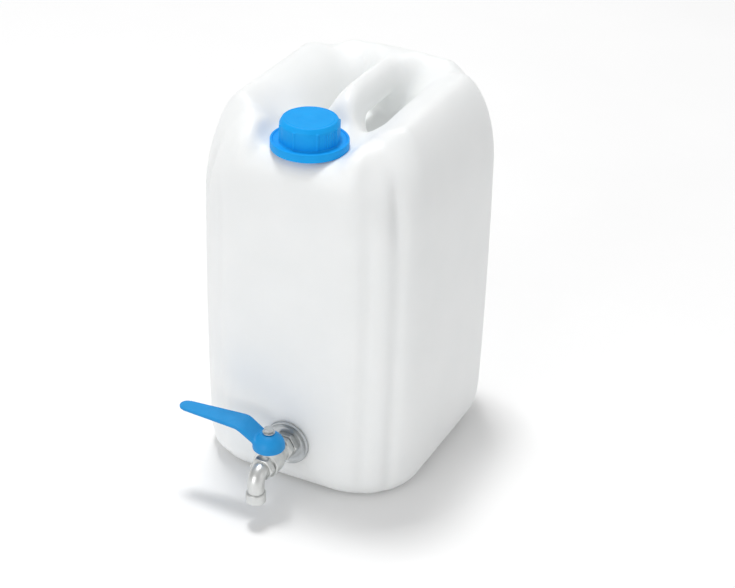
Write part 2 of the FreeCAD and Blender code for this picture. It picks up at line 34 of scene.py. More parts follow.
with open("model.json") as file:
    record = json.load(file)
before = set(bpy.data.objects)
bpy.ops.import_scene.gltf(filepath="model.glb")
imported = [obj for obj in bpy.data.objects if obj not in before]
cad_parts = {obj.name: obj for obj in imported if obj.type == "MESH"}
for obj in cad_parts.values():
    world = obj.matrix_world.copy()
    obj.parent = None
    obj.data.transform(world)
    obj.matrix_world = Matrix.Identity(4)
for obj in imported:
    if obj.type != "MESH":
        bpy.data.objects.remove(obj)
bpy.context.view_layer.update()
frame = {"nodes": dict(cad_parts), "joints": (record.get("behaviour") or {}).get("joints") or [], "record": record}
MM = 0.001
RECORD = frame["record"]


def box_mm(node):
    """A node's lowest and highest corners in millimetres."""
    low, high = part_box(node)
    return np.array(low) / MM, np.array(high) / MM


def joint_point(name):
    """A joint's position in millimetres."""
    found = [j for j in frame["joints"] if j["name"] == name][0]
    return np.array(found["pos_m"], float) / MM


# ---------------------------------------------------------------- fields and meshes

def smooth_min(a, b, k):
    """Union of two fields with a blend about k wide."""
    h = np.clip(0.5 + 0.5 * (b - a) / k, 0.0, 1.0)
    return b + (a - b) * h - k * h * (1.0 - h)


def smooth_max(a, b, k):
    """Intersection of two fields with a blend about k wide."""
    return -smooth_min(-a, -b, k)


def smoothstep(low, high, v):
    """Rises smoothly from 0 at low to 1 at high."""
    t = np.clip((v - low) / (high - low), 0.0, 1.0)
    return t * t * (3.0 - 2.0 * t)


def bell(v, middle, width):
    """A bump one unit high."""
    return np.exp(-((v - middle) / width) ** 2)


def rectangle(x, y, half_x, half_y, radius):
    """Distance to a rounded rectangle."""
    qx = np.abs(x) - half_x + radius
    qy = np.abs(y) - half_y + radius
    return np.hypot(np.maximum(qx, 0), np.maximum(qy, 0)) + np.minimum(np.maximum(qx, qy), 0) - radius


def prism_hex(u, v, flats):
    """Distance to a hexagon with two faces square to v."""
    au, av = np.abs(u), np.abs(v)
    return np.maximum(av, au * math.sqrt(0.75) + av * 0.5) - flats / 2


def surface_net(field, low, high, pitch, level=0.0, steps=3):
    """Quads on a field's level set, pulled onto the surface by Newton steps. Returns points and faces."""
    low = np.array(low, float)
    counts = np.ceil((np.array(high, float) - low) / pitch).astype(int) + 1
    axes = [low[i] + pitch * np.arange(counts[i]) for i in range(3)]
    gx, gy, gz = np.meshgrid(*axes, indexing="ij")
    values = (field(gx, gy, gz) - level).astype(np.float64)
    inside = values < 0
    cells = counts - 1
    total = np.zeros((int(np.prod(cells)), 3))
    hits = np.zeros(int(np.prod(cells)))
    quads = []

    def cell_index(i, j, k):
        return (i * cells[1] + j) * cells[2] + k

    for axis in range(3):
        a = [slice(None)] * 3
        b = [slice(None)] * 3
        a[axis], b[axis] = slice(0, -1), slice(1, None)
        cross = inside[tuple(a)] != inside[tuple(b)]
        ids = np.array(np.nonzero(cross))
        v0 = values[tuple(a)][cross]
        v1 = values[tuple(b)][cross]
        point = low[:, None] + pitch * ids.astype(float)
        point[axis] += pitch * (v0 / (v0 - v1))
        u, w = (axis + 1) % 3, (axis + 2) % 3
        keep = (ids[u] > 0) & (ids[w] > 0) & (ids[u] < counts[u] - 1) & (ids[w] < counts[w] - 1)
        ids, point, v0 = ids[:, keep], point[:, keep], v0[keep]
        ring = []
        for du, dw in ((1, 1), (0, 1), (0, 0), (1, 0)):
            c = ids.copy()
            c[u] -= du
            c[w] -= dw
            index = cell_index(c[0], c[1], c[2])
            ring.append(index)
            hits += np.bincount(index, minlength=len(hits))
            for d in range(3):
                total[:, d] += np.bincount(index, weights=point[d], minlength=len(hits))
        ring = np.array(ring).T
        ring[v0 > 0] = ring[v0 > 0][:, ::-1]
        quads.append(ring)
    quads = np.concatenate(quads)
    used = np.nonzero(hits)[0]
    lookup = np.full(len(hits), -1)
    lookup[used] = np.arange(len(used))
    points = total[used] / hits[used, None]
    step = pitch * 0.02
    for _ in range(steps):
        x, y, z = points.T
        value = field(x, y, z) - level
        grad = np.stack([field(x + step, y, z) - field(x - step, y, z),
                         field(x, y + step, z) - field(x, y - step, z),
                         field(x, y, z + step) - field(x, y, z - step)], 1) / (2 * step)
        move = -value[:, None] * grad / np.maximum((grad ** 2).sum(1), 0.05)[:, None]
        length = np.linalg.norm(move, axis=1)
        move *= np.minimum(1.0, 0.6 * pitch / np.maximum(length, 1e-9))[:, None]
        points = points + move
    return points, lookup[quads]


def make_mesh(name, points, faces, sharp=None):
    """A piece from points in millimetres."""
    mesh = bpy.data.meshes.new(name)
    mesh.from_pydata((np.asarray(points) * MM).tolist(), [], [list(map(int, f)) for f in faces])
    mesh.update()
    mesh.polygons.foreach_set("use_smooth", np.ones(len(mesh.polygons), bool))
    piece = bpy.data.objects.new(name, mesh)
    bpy.context.scene.collection.objects.link(piece)
    if sharp is not None:
        mesh.set_sharp_from_angle(angle=math.radians(sharp))
    return piece


def merge(parts):
    """Joins lists of points and faces."""
    points, faces, start = [], [], 0
    for p, f in parts:
        points.append(np.asarray(p, float))
        faces += [[v + start for v in face] for face in np.asarray(f, dtype=object).tolist()]
        start += len(p)
    return np.concatenate(points), faces


def fillet(profile, radius, arc=4):
    """Rounds the corners of a closed profile of (r, d) points."""
    out = []
    n = len(profile)
    for i in range(n):
        p0, p1, p2 = (np.array(profile[(i + k) % n], float) for k in (-1, 0, 1))
        a, b = p0 - p1, p2 - p1
        la, lb = np.linalg.norm(a), np.linalg.norm(b)
        a, b = a / la, b / lb
        turn = math.acos(float(np.clip(a @ b, -1, 1)))
        cut = min(radius / math.tan(turn / 2), la * 0.45, lb * 0.45)
        if p1[0] < 1e-6 or cut < 0.02:
            out.append(tuple(p1))
            continue
        s, e = p1 + a * cut, p1 + b * cut
        for k in range(arc + 1):
            t = k / arc
            out.append(tuple((1 - t) ** 2 * s + 2 * t * (1 - t) * p1 + t * t * e))
    return out


def lathe(profile, base, axis, across, segments=144):
    """Points and faces of a closed profile of (r, d) turned about an axis through base."""
    base, axis, across = (np.array(v, float) for v in (base, axis, across))
    other = np.cross(axis, across)
    angles = np.linspace(0, 2 * math.pi, segments, endpoint=False)
    rows = len(profile)
    points = []
    for angle in angles:
        out = across * math.cos(angle) + other * math.sin(angle)
        for r, d in profile:
            points.append(base + out * r + axis * d)
    faces = []
    for s in range(segments):
        n = (s + 1) % segments
        for i in range(rows):
            j = (i + 1) % rows
            if profile[i][0] < 1e-6 and profile[j][0] < 1e-6:
                continue
            faces.append((s * rows + i, n * rows + i, n * rows + j, s * rows + j))
    return points, faces


def sweep(centres, normals, radii, segments=64):
    """Points and faces of rings of the given radii, square to each normal, joined in order."""
    side = np.array((1.0, 0.0, 0.0))
    points, faces = [], []
    for c, n, r in zip(centres, normals, radii):
        n = np.array(n, float) / np.linalg.norm(n)
        other = np.cross(n, side)
        for k in range(segments):
            a = 2 * math.pi * k / segments
            points.append(np.array(c, float) + r * (side * math.cos(a) + other * math.sin(a)))
    for i in range(len(centres) - 1):
        for k in range(segments):
            m = (k + 1) % segments
            faces.append((i * segments + k, i * segments + m, (i + 1) * segments + m, (i + 1) * segments + k))
    return points, faces


# ---------------------------------------------------------------- the can's body

can_low, can_high = box_mm("can_body")
HALF_X = (can_high[0] - can_low[0]) / 2
HALF_Y = -can_low[1]
TOP = can_high[2]
CORNER_FRONT, CORNER_REAR = 72.5, 70.0
BASE_SIDE, BASE_FRONT, BASE_REAR, BASE_CORNER_REAR = 27.0, 33.0, 52.0, 40.0
SHOULDER = 100.0
INSET_SIDE, INSET_FRONT, INSET_REAR = 36.0, 46.0, 37.5
INSET_CORNER_FRONT, INSET_CORNER_REAR = 35.0, 18.0
BELLY = 3.2
WALL = 2.1
NECK_Y = joint_point("cap_turn")[1]
ring_low, ring_high = box_mm("tamper_ring")
stem = joint_point("lever_turn")
tap = np.array((stem[0], can_low[1], stem[2]))

# corner grooves: depth, place in degrees round the corner, width in degrees, and where they fade out
SIDE_GROOVE, SIDE_GROOVE_AT, SIDE_GROOVE_WIDE, SIDE_GROOVE_END = 2.9, 38.0, 6.4, (350.0, 392.0)
FRONT_GROOVE, FRONT_GROOVE_AT, FRONT_GROOVE_WIDE, FRONT_GROOVE_END = 2.7, 62.5, 6.6, (310.0, 360.0)
GROOVE_START = (-6.0, 40.0)
GROOVE_REST = 0.2
SWELL, SWELL_Z, SWELL_TALL = 3.4, 332.0, 26.0

# landing round the neck
LANDING = ring_low[2] - 0.4
LANDING_HALF, LANDING_REAR, LANDING_FAR, LANDING_FLARE = 43.5, -44.0, 260.0, 0.8
LANDING_ROUND, LANDING_STEEP, LANDING_FLOOR_BLEND, LANDING_EDGE = 30.0, 0.85, 10.0, 22.0

# handle and the scoops beside it
HANDLE_HALF, CREST_PINCH, CREST_FALL = 15.0, 11.5, 12.0
SCOOP_FLOOR, SCOOP_FLOOR_BLEND, SCOOP_ROUND = 350.0, 18.0, 26.0
SCOOP_HALF, SCOOP_FLARE, SCOOP_STEEP, SCOOP_SIDE_BLEND = 23.0, 0.66, 0.83, 6.0
SCOOP_FRONT, FRONT_FLARE, FRONT_STEEP = -8.0, 1.1, 0.67
SCOOP_REAR, REAR_FLARE, REAR_STEEP = 72.0, 0.34, 0.94
LIP_NEAR, LIP_GROWTH, LIP_SPAN = 8.0, 20.0, (12.0, 40.0)
GAP_HALF, GAP_Y, GAP_LONG, GAP_Z, GAP_TALL = 27.0, 37.0, 29.0, 361.5, 12.0
GAP_ROUND, GAP_ROUND_UP, GAP_EDGE = 12.0, 9.0, 14.0
SEAM_HIGH, SEAM_WIDE, SEAM_START = 0.5, 1.1, (-30.0, -18.0)

# neck
NECK_R, NECK_BORE = 25.0, 22.0
NECK_FOOT_UP, NECK_FOOT_DOWN, NECK_FOOT_BLEND = 7.0, 12.0, 4.0
BEAD_R, BEAD_UP, BEAD_SLOPE, BEAD_TALL = 27.4, 6.4, 1.2, 1.4
THREAD_TURNS, THREAD_PITCH, THREAD_UP, THREAD_STEPS, THREAD_RUN_IN = 1.5, 5.0, 12.5, 160, 12
BORE_OPEN, HOLE_OPEN = 23.6, 12.0
THREAD_SECTION = ((-0.4, -1.2), (1.75, -0.6), (1.75, 0.6), (-0.4, 1.2))


def groove_depth(corner, z):
    """Depth of the paired grooves beside the post on every corner."""
    start = smoothstep(*GROOVE_START, z)
    up_side = start * (1.0 - smoothstep(*SIDE_GROOVE_END, z))
    up_front = start * (1.0 - smoothstep(*FRONT_GROOVE_END, z))
    side_deep = SIDE_GROOVE + SWELL * bell(z, SWELL_Z, SWELL_TALL)
    near_side = side_deep * bell(corner, SIDE_GROOVE_AT, SIDE_GROOVE_WIDE)
    near_front = FRONT_GROOVE * bell(corner, FRONT_GROOVE_AT, FRONT_GROOVE_WIDE)
    fade = 1 - GROOVE_REST
    return near_side * (GROOVE_REST + fade * up_side) + near_front * (GROOVE_REST + fade * up_front)


def landing_space(x, y, z):
    """Lowered landing round the neck, open to the front."""
    opened = np.maximum(z - LANDING, 0)
    back_edge = LANDING_REAR + opened * LANDING_FLARE
    middle = (back_edge - LANDING_FAR) / 2
    space = rectangle(x, y - middle, LANDING_HALF + opened * LANDING_FLARE, back_edge - middle, LANDING_ROUND)
    return smooth_max(space * LANDING_STEEP, LANDING - z, LANDING_FLOOR_BLEND)


def scoop_space(x, y, z):
    """Scooped finger spaces on both sides of the handle, whose crest is narrow."""
    side = np.abs(x)
    flank = HANDLE_HALF - CREST_PINCH * np.exp(-np.maximum(TOP - z, 0) / CREST_FALL)
    spread = np.maximum(z - SCOOP_FLOOR, 0)
    outer_side = (side - SCOOP_HALF - spread * SCOOP_FLARE) * SCOOP_STEEP
    across = smooth_max(flank - side, outer_side, SCOOP_SIDE_BLEND)
    along = np.maximum((SCOOP_FRONT - spread * FRONT_FLARE - y) * FRONT_STEEP,
                       (y - SCOOP_REAR - spread * REAR_FLARE) * REAR_STEEP)
    return smooth_max(smooth_max(across, along, SCOOP_ROUND), SCOOP_FLOOR - z, SCOOP_FLOOR_BLEND)


def handle_gap(x, y, z):
    """Space for the fingers below the handle."""
    plan = smooth_max(np.abs(x) - GAP_HALF, np.abs(y - GAP_Y) - GAP_LONG, GAP_ROUND)
    return smooth_max(plan, np.abs(z - GAP_Z) - GAP_TALL, GAP_ROUND_UP)


def can_field(x, y, z):
    """Outside of the blow-moulded body, negative within."""
    rear = y > 0
    radius = np.where(rear, CORNER_REAR, CORNER_FRONT)
    half_x = HALF_X - BELLY * (2 * z / TOP - 1) ** 2
    qx = np.abs(x) - (half_x - radius)
    qy = np.abs(y) - (HALF_Y - radius)
    ax, ay = np.maximum(qx, 0), np.maximum(qy, 0)
    wall = np.hypot(ax, ay) + np.minimum(np.maximum(qx, qy), 0) - radius
    squares = ax ** 2 + ay ** 2
    facing = np.where(squares > 1e-9, ay ** 2 / np.maximum(squares, 1e-9), (qy > qx).astype(float))
    diagonal = 4 * facing * (1 - facing)
    corner = np.degrees(np.arctan2(ay, np.maximum(ax, 1e-6)))
    on_corner = ((qx > 0) & (qy > 0)).astype(float)
    wall = wall + groove_depth(corner, z) * on_corner
    inset = INSET_SIDE + (np.where(rear, INSET_REAR, INSET_FRONT) - INSET_SIDE) * facing
    inset = inset + np.where(rear, INSET_CORNER_REAR, INSET_CORNER_FRONT) * diagonal
    depth = -wall
    rise = z - (TOP - SHOULDER)
    e = ((inset - depth) / inset) ** 2 + (rise / SHOULDER) ** 2
    slope = 2 * np.sqrt(((inset - depth) / inset ** 2) ** 2 + (rise / SHOULDER ** 2) ** 2)
    shoulder = np.where(depth < inset, (e - 1) / np.maximum(slope, 1e-4), z - TOP)
    top = np.where(rise > 0, shoulder, wall)
    base = BASE_SIDE + (np.where(rear, BASE_REAR, BASE_FRONT) - BASE_SIDE) * facing
    base = base + np.where(rear, BASE_CORNER_REAR, 0.0) * diagonal
    low = np.where((depth < base) & (z < base), np.hypot(base - depth, base - z) - base, np.maximum(wall, -z))
    body = np.where(z > TOP / 2, top, low)
    body = smooth_max(body, -landing_space(x, y, z), LANDING_EDGE)
    lip = LIP_NEAR + LIP_GROWTH * smoothstep(*LIP_SPAN, np.abs(x))
    body = smooth_max(body, -scoop_space(x, y, z), lip)
    body = smooth_max(body, -handle_gap(x, y, z), GAP_EDGE)
    # mould seam over the handle, down the rear and under the base
    body = body - SEAM_HIGH * bell(x, 0.0, SEAM_WIDE) * smoothstep(*SEAM_START, y)
    foot = np.maximum(np.hypot(x, y - NECK_Y) - NECK_R, z - LANDING - NECK_FOOT_UP)
    body = smooth_min(body, np.maximum(foot, LANDING - NECK_FOOT_DOWN - z), NECK_FOOT_BLEND)
    return np.maximum(np.maximum(body, -z), np.maximum(z - TOP, np.abs(y) - HALF_Y))


def open_faces(points, faces):
    """Drops the faces over the neck's bore and over the tap's hole."""
    middle = points[faces].mean(1)
    neck_r = np.hypot(middle[:, 0], middle[:, 1] - NECK_Y)
    tap_r = np.hypot(middle[:, 0] - tap[0], middle[:, 2] - tap[2])
    bore = (neck_r < BORE_OPEN) & (middle[:, 2] > LANDING - 14)
    hole = (tap_r < HOLE_OPEN) & (middle[:, 1] < tap[1] + 8)
    return faces[~(bore | hole)]


def neck_parts():
    """The neck's tube with its bead and rim, and its thread as a swept ridge."""
    bead = LANDING + BEAD_UP
    rim = box_mm("cap_liner")[0][2]
    root = LANDING - 6.0
    profile = [(NECK_BORE, root), (NECK_R, root), (NECK_R, bead - BEAD_SLOPE), (BEAD_R, bead),
               (BEAD_R, bead + BEAD_TALL), (NECK_R, bead + BEAD_TALL), (NECK_R, rim), (NECK_BORE, rim)]
    tube = lathe(fillet(profile, 0.5), (0, NECK_Y, 0), (0, 0, 1), (1, 0, 0))
    steps, run_in = THREAD_STEPS, THREAD_RUN_IN
    points, faces = [], []
    for i in range(steps + 1):
        t = i / steps
        angle = 2 * math.pi * THREAD_TURNS * t
        grow = min(1.0, run_in * t, run_in * (1 - t))
        level = LANDING + THREAD_UP + THREAD_PITCH * THREAD_TURNS * t
        for r, h in THREAD_SECTION:
            radius = NECK_R + (r if r < 0 else r * grow)
            points.append((radius * math.cos(angle), NECK_Y + radius * math.sin(angle), level + h))
    for i in range(steps):
        for k in range(4):
            m = (k + 1) % 4
            faces.append((4 * i + k, 4 * i + m, 4 * i + 4 + m, 4 * i + 4 + k))
    faces += [(3, 2, 1, 0), (4 * steps, 4 * steps + 1, 4 * steps + 2, 4 * steps + 3)]
    return tube, (points, faces)


MARGIN = 6.0
OUTER_PITCH = 2.6
INNER_PITCH = 4.2
low, high = can_low - MARGIN, can_high + MARGIN
outer = surface_net(can_field, low, high, OUTER_PITCH)
inner = surface_net(can_field, low, high, INNER_PITCH, level=-WALL)
outer_faces = open_faces(outer[0], outer[1])
inner_faces = open_faces(inner[0], inner[1])[:, ::-1]
can = make_mesh("can_shell", *merge([(outer[0], outer_faces), (inner[0], inner_faces), *neck_parts()]))


# ---------------------------------------------------------------- the cap and its ring

cap_low, cap_high = box_mm("screw_cap")
CAP_TOP = cap_high[2]
CAP_FOOT = cap_low[2]
CAP_R, CAP_BORE, CAP_ROOF = 29.9, 27.6, 2.5
BEVEL, BEVEL_IN = 4.6, 2.6
BEVEL_OUT, BEVEL_UP = 0.87, 0.49
PANEL_R, PANEL_EDGE, PANEL_DEEP = 24.6, 0.55, 0.35
RIB_EVERY, RIB_SHIFT, RIB_HALF, RIB_OUT = 45.0, 3.0, 1.55, 0.95
KNURL_EVERY, KNURL_HALF, KNURL_OUT = 5.8, 0.55, 0.55
PATCH_EVERY, PATCH_SHIFT, PATCH_HALF = 180.0, 21.0, 11.5


def cap_field(x, y, z):
    """Screw cap: bevelled drum with grip ribs, two knurled patches and a plain bore."""
    cy = y - NECK_Y
    r = np.hypot(x, cy)
    angle = np.degrees(np.arctan2(cy, x))
    drum = smooth_max(r - CAP_R, z - CAP_TOP, 1.2)
    cone = (r - (CAP_R - BEVEL_IN)) * BEVEL_OUT + (z - CAP_TOP) * BEVEL_UP
    drum = smooth_max(drum, cone, 0.7)
    drum = drum + bell(r, PANEL_R, PANEL_EDGE) * PANEL_DEEP * (z > CAP_TOP - 3)
    step = np.mod(angle + RIB_SHIFT + RIB_EVERY / 2, RIB_EVERY) - RIB_EVERY / 2
    arc = np.radians(step) * r
    height = smooth_max(z - (CAP_TOP - BEVEL + 0.2), CAP_FOOT + 0.2 - z, 0.6)
    rib = smooth_max(smooth_max(np.abs(arc) - RIB_HALF, r - CAP_R - RIB_OUT, 1.3), height, 0.7)
    rib = np.maximum(rib, CAP_R - 2.0 - r)
    cap = smooth_min(drum, rib, 0.8)
    patch = np.mod(angle + PATCH_SHIFT + PATCH_EVERY / 2, PATCH_EVERY) - PATCH_EVERY / 2
    fine = np.mod(patch + KNURL_EVERY / 2, KNURL_EVERY) - KNURL_EVERY / 2
    fine_arc = np.radians(fine) * r
    knurl = smooth_max(np.abs(fine_arc) - KNURL_HALF, r - CAP_R - KNURL_OUT, 0.4)
    knurl = smooth_max(knurl, height + 1.0, 0.5)
    knurl = np.maximum(knurl, np.abs(patch) - PATCH_HALF)
    knurl = np.maximum(knurl, CAP_R - 2.0 - r)
    cap = smooth_min(cap, knurl, 0.3)
    hollow = np.maximum(r - CAP_BORE, z - (CAP_TOP - CAP_ROOF))
    cap = smooth_max(cap, -hollow, 0.5)
    return np.maximum(cap, CAP_FOOT - z)


CAP_PITCH = 0.42
cap = make_mesh("cap_shell", *surface_net(cap_field, cap_low - 2, cap_high + 2, CAP_PITCH))

RING_R = (ring_high[0] - ring_low[0]) / 2
RING_BORE, RING_WALL, RING_WEB, RING_THROAT = 25.5, 2.0, 8.6, 10.4
ring_foot, ring_top = ring_low[2], ring_high[2]
lip = ring_foot + 3.0
web, rim, throat = RING_R - RING_WEB, RING_R - RING_WALL, RING_R - RING_THROAT
ring_profile = [(RING_BORE, lip - RING_WALL), (web, lip - RING_WALL), (web, ring_top - 3.2),
                (rim, ring_top - 3.2), (rim, ring_foot), (RING_R, ring_foot), (RING_R, ring_top),
                (rim, ring_top), (rim - 0.8, ring_top - 1.1), (web + 0.4, ring_top - 1.1),
                (web - 0.2, ring_top - 0.2), (throat, ring_top - 0.2), (throat, lip), (RING_BORE, lip)]
ring_turned = lathe(fillet(ring_profile, 0.5), (0, NECK_Y, 0), (0, 0, 1), (1, 0, 0), 192)
ring = make_mesh("tamper_ring_skin", *ring_turned, sharp=50)


# ---------------------------------------------------------------- the tap

def from_tap(y):
    """Distance outwards from the can's front face."""
    return tap[1] - y


disc_low, disc_high = box_mm("rosette")
DISC_R = (disc_high[0] - disc_low[0]) / 2
rosette_profile = [(10.5, 2.0), (22.2, 2.0), (22.4, 0.5), (DISC_R - 0.3, 0.5), (DISC_R, 2.2),
                   (DISC_R - 0.5, 4.1), (DISC_R - 1.6, 4.2), (DISC_R - 3.4, 3.2), (DISC_R - 6.0, 2.9),
                   (17.0, 3.3), (10.5, 3.3)]
rosette_turned = lathe(fillet(rosette_profile, 0.4), tap, (0, -1, 0), (1, 0, 0), 160)
rosette = make_mesh("rosette_plate", *rosette_turned, sharp=50)

# lever: places are counted from the stem's foot on the tap's axis
lever_low, lever_high = box_mm("lever")
HOOD_R = lever_high[0] - stem[0]
HOOD_FOOT = lever_low[2] - stem[2]
HOOD_TOP = box_mm("lever_washer")[0][2] - stem[2]
HOOD_CENTRE, HOOD_SQUASH, HOOD_WALL, HOOD_ROOF = 19.5, 1.03, 2.4, 36.0
LEVER_REACH = stem[0] - lever_low[0]
KNEE_X, KNEE_Z = -29.7, lever_high[2] - stem[2]
ROOT_X, ROOT_Z, ARM_END = -4.0, 22.0, -3.0
BLADE, BLADE_THINS, BLADE_DROPS = 4.4, 0.45, 0.6
BLADE_HALF, BLADE_NARROWS, ARM_NARROWS = 13.0, 5.2, 0.8
TIP_R = 7.8
BEND = 3.0
SEAT_R, SQUARE_HALF = 7.6, 2.85


def lever_field(x, y, z):
    """Cast lever: hood, rising arm and a long blade that narrows to a round tip."""
    u, v, w = x - stem[0], y - stem[1], z - stem[2]
    r = np.hypot(u, v)
    ball = np.sqrt(r ** 2 + ((w - HOOD_CENTRE) * HOOD_SQUASH) ** 2) - HOOD_R
    hood = smooth_max(ball, HOOD_FOOT - w, 1.4)
    hood = smooth_max(hood, w - HOOD_ROOF, 2.0)
    centre = KNEE_Z - 0.5 * BLADE - 0.4
    slope = (ROOT_Z - centre) / (ROOT_X - KNEE_X)
    flat = centre - BLADE_DROPS * smoothstep(KNEE_X, -LEVER_REACH, u)
    falling = centre + slope * (u - KNEE_X)
    middle = smooth_min(flat, falling, BEND)
    turn = np.clip(0.5 + (flat - falling) / (2 * BEND), 0, 1)
    reach = np.clip((KNEE_X - u) / (KNEE_X + LEVER_REACH), 0, 1)
    along_arm = np.clip((u - KNEE_X) / (ROOT_X - KNEE_X), 0, 1)
    wide = BLADE_HALF - BLADE_NARROWS * reach - ARM_NARROWS * along_arm
    tip = np.hypot(np.maximum(-LEVER_REACH + TIP_R - u, 0), v) - TIP_R
    plan = np.where(u < -LEVER_REACH + TIP_R, tip, np.abs(v) - wide)
    thick = np.abs(w - middle) / np.sqrt(1 + (slope * turn) ** 2) - (BLADE / 2 - BLADE_THINS * reach)
    body = np.maximum(smooth_max(thick, plan, 1.5), u - ARM_END)
    body = smooth_min(body, hood, 3.2)
    hollow = np.sqrt(r ** 2 + ((w - 17.0) * 1.15) ** 2) - (HOOD_R - HOOD_WALL)
    hollow = smooth_min(hollow, np.maximum(r - (HOOD_R - 2.2), w - HOOD_FOOT - 2.0), 0.8)
    body = smooth_max(body, -hollow, 0.6)
    seat = np.maximum(r - SEAT_R, HOOD_TOP - w)
    body = smooth_max(body, -seat, 0.8)
    hole = np.maximum(np.abs(u), np.abs(v)) - SQUARE_HALF
    return np.maximum(body, -hole)


LEVER_PITCH = 0.5
lever = make_mesh("lever_casting", *surface_net(lever_field, lever_low - 2, lever_high + 2, LEVER_PITCH))

# valve body: places along the tap are counted outwards from the can's front face
valve_low, valve_high = box_mm("valve_body")
STEM_OUT = tap[1] - stem[1]
NOSE_END = from_tap(valve_low[1])
NOSE_START = NOSE_END - 5.0
TAIL_R, TAIL_MID, TAIL_HALF = 10.3, -2.0, 13.0
ROOT_FLATS, ROOT_CORNER, ROOT_AT, ROOT_HALF = 25.0, 14.0, 14.2, 3.8
TUBE_R, TUBE_AT, TUBE_HALF = 10.8, 24.0, 8.0
HOUSING_R, HOUSING_FLAT, HOUSING_SQUASH = 14.4, 6.5, 1.5
BOSS_R, BOSS_FLARE, BOSS_TOP = 8.0, 3.6, 19.6
NOSE_R = 10.2
BORE_R, SEAT_BORE_R, STEM_BORE_R = 6.0, 8.95, 6.4


def valve_field(x, y, z):
    """Cast valve body: plain tail, hexagonal root, ball housing, stem boss and nose, with its bores."""
    u, w, d = x - tap[0], z - tap[2], from_tap(y)
    r = np.hypot(u, w)
    out = stem[1] - y
    tail = np.maximum(r - TAIL_R, np.abs(d - TAIL_MID) - TAIL_HALF)
    off_root = np.abs(d - ROOT_AT)
    root = smooth_max(prism_hex(u, w, ROOT_FLATS), off_root - ROOT_HALF, 0.8)
    root = smooth_max(root, r - ROOT_CORNER + np.maximum(off_root - ROOT_HALF + 1.2, 0) * 0.9, 0.5)
    tube = np.maximum(r - TUBE_R, np.abs(d - TUBE_AT) - TUBE_HALF)
    beyond = np.maximum(np.abs(out) - HOUSING_FLAT, 0) * HOUSING_SQUASH
    housing = smooth_max(np.hypot(r, beyond) - HOUSING_R, d - NOSE_START, 0.9)
    rise = np.hypot(u, out)
    flare = BOSS_FLARE * (1.0 - smoothstep(15.0, 18.4, w))
    boss = np.maximum(rise - BOSS_R - flare, np.maximum(w - BOSS_TOP, -w))
    nose = np.maximum(r - NOSE_R, np.maximum(d - NOSE_END, STEM_OUT - d))
    body = smooth_min(tail, root, 0.6)
    body = smooth_min(body, smooth_min(tube, housing, 3.0), 1.2)
    body = smooth_min(body, boss, 2.4)
    body = smooth_min(body, nose, 0.6)
    bore = np.maximum(r - BORE_R, d - STEM_OUT + 9.0)
    seat_bore = np.maximum(r - SEAT_BORE_R, STEM_OUT - 9.6 - d)
    stem_bore = np.maximum(rise - STEM_BORE_R, -w)
    for cut in (bore, seat_bore, stem_bore):
        body = np.maximum(body, -cut)
    return body


VALVE_PITCH = 0.6
valve = make_mesh("valve_casting", *surface_net(valve_field, valve_low - 2, valve_high + 2, VALVE_PITCH))


NUT_PITCH = 0.4


def hex_nut(name, node, flats, bore, cut):
    """A chamfered hexagonal nut on the tap's axis, filling a node's box."""
    low_c, high_c = box_mm(node)
    middle = (low_c[1] + high_c[1]) / 2
    half = (high_c[1] - low_c[1]) / 2
    corner = flats / math.sqrt(3)

    def field(x, y, z):
        u, w, d = x - tap[0], z - tap[2], np.abs(y - middle)
        r = np.hypot(u, w)
        shape = smooth_max(prism_hex(u, w, flats), d - half, 0.5)
        shape = smooth_max(shape, (r - corner + 0.1) * 0.6 + (d - half + cut) * 0.72, 0.4)
        return np.maximum(shape, bore - r)

    return make_mesh(name, *surface_net(field, low_c - 2, high_c + 2, NUT_PITCH))


locknut = hex_nut("locknut_hex", "locknut", 26.0, 10.45, 1.3)
spout_nut = hex_nut("spout_nut_ring", "spout_nut", 23.0, 8.4, 1.6)

spout_low, spout_high = box_mm("spout")
collar_low, collar_high = box_mm("outlet_collar")
outlet_y = (collar_low[1] + collar_high[1]) / 2
SPOUT_R, SPOUT_BORE, SPOUT_BEND = 8.8, 6.2, 11.0
LEAD_RINGS, BEND_RINGS, DROP_RINGS = 4, 32, 8
bend_y = outlet_y + SPOUT_BEND
drop_z = tap[2] - SPOUT_BEND
centres, normals = [], []
for k in range(LEAD_RINGS + 1):
    centres.append((tap[0], spout_high[1] + (bend_y - spout_high[1]) * k / LEAD_RINGS, tap[2]))
    normals.append((0, -1, 0))
for k in range(1, BEND_RINGS + 1):
    a = math.radians(90 * k / BEND_RINGS)
    centres.append((tap[0], bend_y - SPOUT_BEND * math.sin(a), drop_z + SPOUT_BEND * math.cos(a)))
    normals.append((0, -math.cos(a), -math.sin(a)))
for k in range(1, DROP_RINGS + 1):
    centres.append((tap[0], outlet_y, drop_z - (drop_z - spout_low[2]) * k / DROP_RINGS))
    normals.append((0, 0, -1))
# out along the outside, back along the bore, and closed at the start
count = len(centres)
path = centres + centres[::-1] + centres[:1]
path_normals = normals + normals[::-1] + normals[:1]
radii = [SPOUT_R] * count + [SPOUT_BORE] * count + [SPOUT_R]
spout = make_mesh("spout_pipe", *sweep(path, path_normals, radii), sharp=50)

foot, head = collar_low[2], collar_high[2]
COLLAR_R = (collar_high[0] - collar_low[0]) / 2
collar_profile = [(SPOUT_BORE, foot), (COLLAR_R - 0.7, foot), (COLLAR_R, foot + 0.8), (COLLAR_R, head - 1.3),
                  (COLLAR_R - 1.1, head), (SPOUT_R + 0.1, head), (SPOUT_R + 0.1, foot + 2.0),
                  (SPOUT_BORE, foot + 2.0)]
collar_turned = lathe(fillet(collar_profile, 0.35), (tap[0], outlet_y, 0), (0, 0, 1), (1, 0, 0), 128)
collar = make_mesh("outlet_collar_sleeve", *collar_turned, sharp=50)


# ---------------------------------------------------------------- materials

